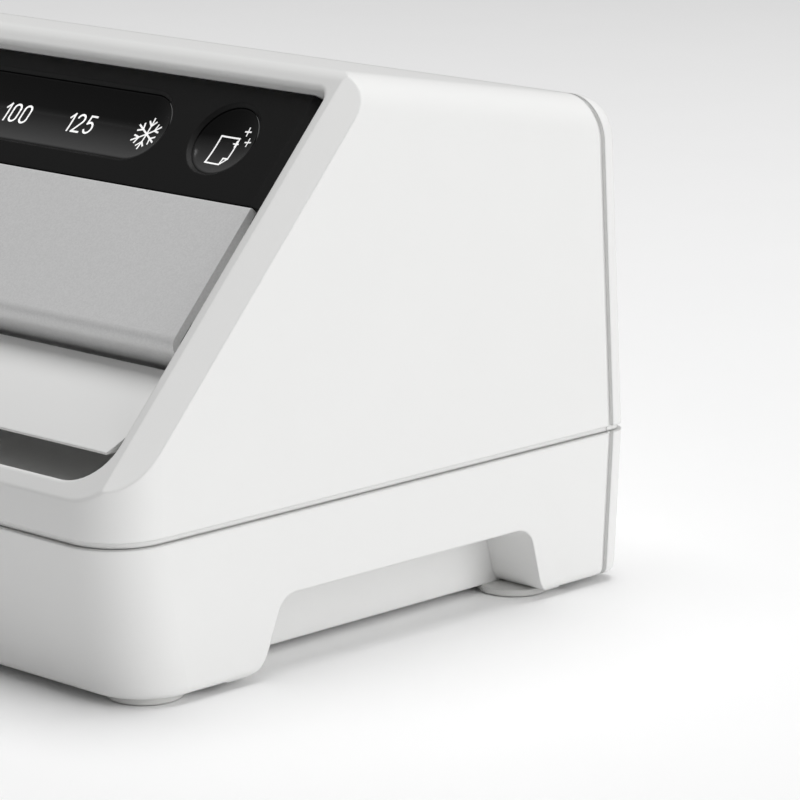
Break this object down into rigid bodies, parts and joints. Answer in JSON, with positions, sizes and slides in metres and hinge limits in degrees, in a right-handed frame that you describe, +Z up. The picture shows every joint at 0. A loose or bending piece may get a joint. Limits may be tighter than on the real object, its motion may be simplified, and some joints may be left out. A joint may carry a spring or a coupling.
{
  "type": "pouch laminator",
  "caption": "Desktop pouch laminator with slanted front, touch panel, pull-out feed tray, geared hot rollers and carry grips.",
  "frame": {"origin": "on the table, under the middle of the casing", "axes": "+X to the machine's right along the rollers, -Y is the front where pouches go in, +Z is up"},
  "size_m": [0.516, 0.2, 0.1573],
  "materials": {
    "casing_white": "satin moulded",
    "hood_grey": "satin silver-grey",
    "panel_black": "satin black",
    "window_black": "gloss black",
    "rubber_grey": "soft moulded",
    "board_green": "solder mask",
    "component_black": "moulded",
    "roller_steel": "ground",
    "sleeve_silicone": "ground silicone",
    "gear_nylon": "moulded acetal",
    "frame_steel": "zinc plated",
    "bronze": "sintered",
    "shoe_aluminium": "extruded",
    "guide_steel": "plated sheet",
    "guide_plastic": "moulded",
    "inlet_black": "moulded",
    "screw_steel": "zinc plated"
  },
  "bodies": {
    "root": {"upper_casing": "casing_white", "lower_casing": "casing_white", "rear_cover_upper": "casing_white", "rear_cover_lower": "casing_white", "control_panel": "panel_black", "display_window": "window_black", "mode_button_window": "window_black", "standby_button_window": "window_black", "touch_board": "board_green", "hood_plate": "hood_grey", "tray_guides": "guide_plastic", "idler_stud": "roller_steel", "side_frame_right": "frame_steel", "side_frame_left": "frame_steel", "frame_bars": "roller_steel", "frame_screws": "screw_steel", "roller_bushes": "bronze", "bearing_blocks": "bronze", "pressure_springs": "roller_steel", "upper_hot_shoe": "shoe_aluminium", "lower_hot_shoe": "shoe_aluminium", "entry_guides": "guide_steel", "middle_guides": "guide_steel", "exit_guides": "guide_steel", "heat_shield": "guide_steel", "thermostat": "component_black", "thermal_fuse": "component_black", "motor_bracket": "frame_steel", "gearbox": "frame_steel", "motor": "frame_steel", "board_standoffs": "guide_plastic", "main_board": "board_green", "board_components": "component_black", "power_inlet": "inlet_black", "inlet_pins": "bronze", "switch_body": "inlet_black", "rubber_feet": "rubber_grey", "casing_screws": "screw_steel"},
    "feed_tray": {"feed_tray": "casing_white"},
    "feed_roller_lower": {"feed_roller_lower_core": "roller_steel", "feed_roller_lower_sleeve": "sleeve_silicone", "feed_roller_lower_gear": "gear_nylon"},
    "feed_roller_upper": {"feed_roller_upper_core": "roller_steel", "feed_roller_upper_sleeve": "sleeve_silicone", "feed_roller_upper_gear": "gear_nylon"},
    "exit_roller_lower": {"exit_roller_lower_core": "roller_steel", "exit_roller_lower_sleeve": "sleeve_silicone", "exit_roller_lower_gear": "gear_nylon"},
    "exit_roller_upper": {"exit_roller_upper_core": "roller_steel", "exit_roller_upper_sleeve": "sleeve_silicone", "exit_roller_upper_gear": "gear_nylon"},
    "idler": {"idler_gear": "gear_nylon"},
    "motor_output": {"motor_pinion": "gear_nylon", "motor_output_shaft": "roller_steel"},
    "power_rocker": {"power_rocker": "inlet_black"}
  },
  "joints": [
    {"name": "feed_tray_slide", "type": "slide", "parent": "root", "child": "feed_tray", "axis": [0, -1, 0], "range_m": [0, 0.045]},
    {"name": "feed_roller_lower_spin", "type": "hinge", "parent": "root", "child": "feed_roller_lower", "pos_m": [0, -0.02, 0.0646], "axis": [1, 0, 0], "continuous": true},
    {"name": "feed_roller_upper_spin", "type": "hinge", "parent": "root", "child": "feed_roller_upper", "pos_m": [0, -0.02, 0.0906], "axis": [1, 0, 0], "continuous": true},
    {"name": "exit_roller_lower_spin", "type": "hinge", "parent": "root", "child": "exit_roller_lower", "pos_m": [0, 0.034, 0.0646], "axis": [1, 0, 0], "continuous": true},
    {"name": "exit_roller_upper_spin", "type": "hinge", "parent": "root", "child": "exit_roller_upper", "pos_m": [0, 0.034, 0.0906], "axis": [1, 0, 0], "continuous": true},
    {"name": "idler_spin", "type": "hinge", "parent": "root", "child": "idler", "pos_m": [0.188, 0.007, 0.0646], "axis": [1, 0, 0], "continuous": true},
    {"name": "motor_output_spin", "type": "hinge", "parent": "root", "child": "motor_output", "pos_m": [0.188, 0.007, 0.0436], "axis": [1, 0, 0], "continuous": true},
    {"name": "power_rocker_tilt", "type": "hinge", "parent": "root", "child": "power_rocker", "pos_m": [-0.166, 0.09278, 0.024], "axis": [1, 0, 0], "range_deg": [-8, 8]}
  ],
  "couplings": [
    {"joint": "feed_roller_upper_spin", "follows": "feed_roller_lower_spin", "ratio": -1},
    {"joint": "exit_roller_lower_spin", "follows": "feed_roller_lower_spin", "ratio": 1},
    {"joint": "exit_roller_upper_spin", "follows": "feed_roller_lower_spin", "ratio": -1},
    {"joint": "idler_spin", "follows": "feed_roller_lower_spin", "ratio": -0.92857},
    {"joint": "motor_output_spin", "follows": "feed_roller_lower_spin", "ratio": 1.8571}
  ]
}
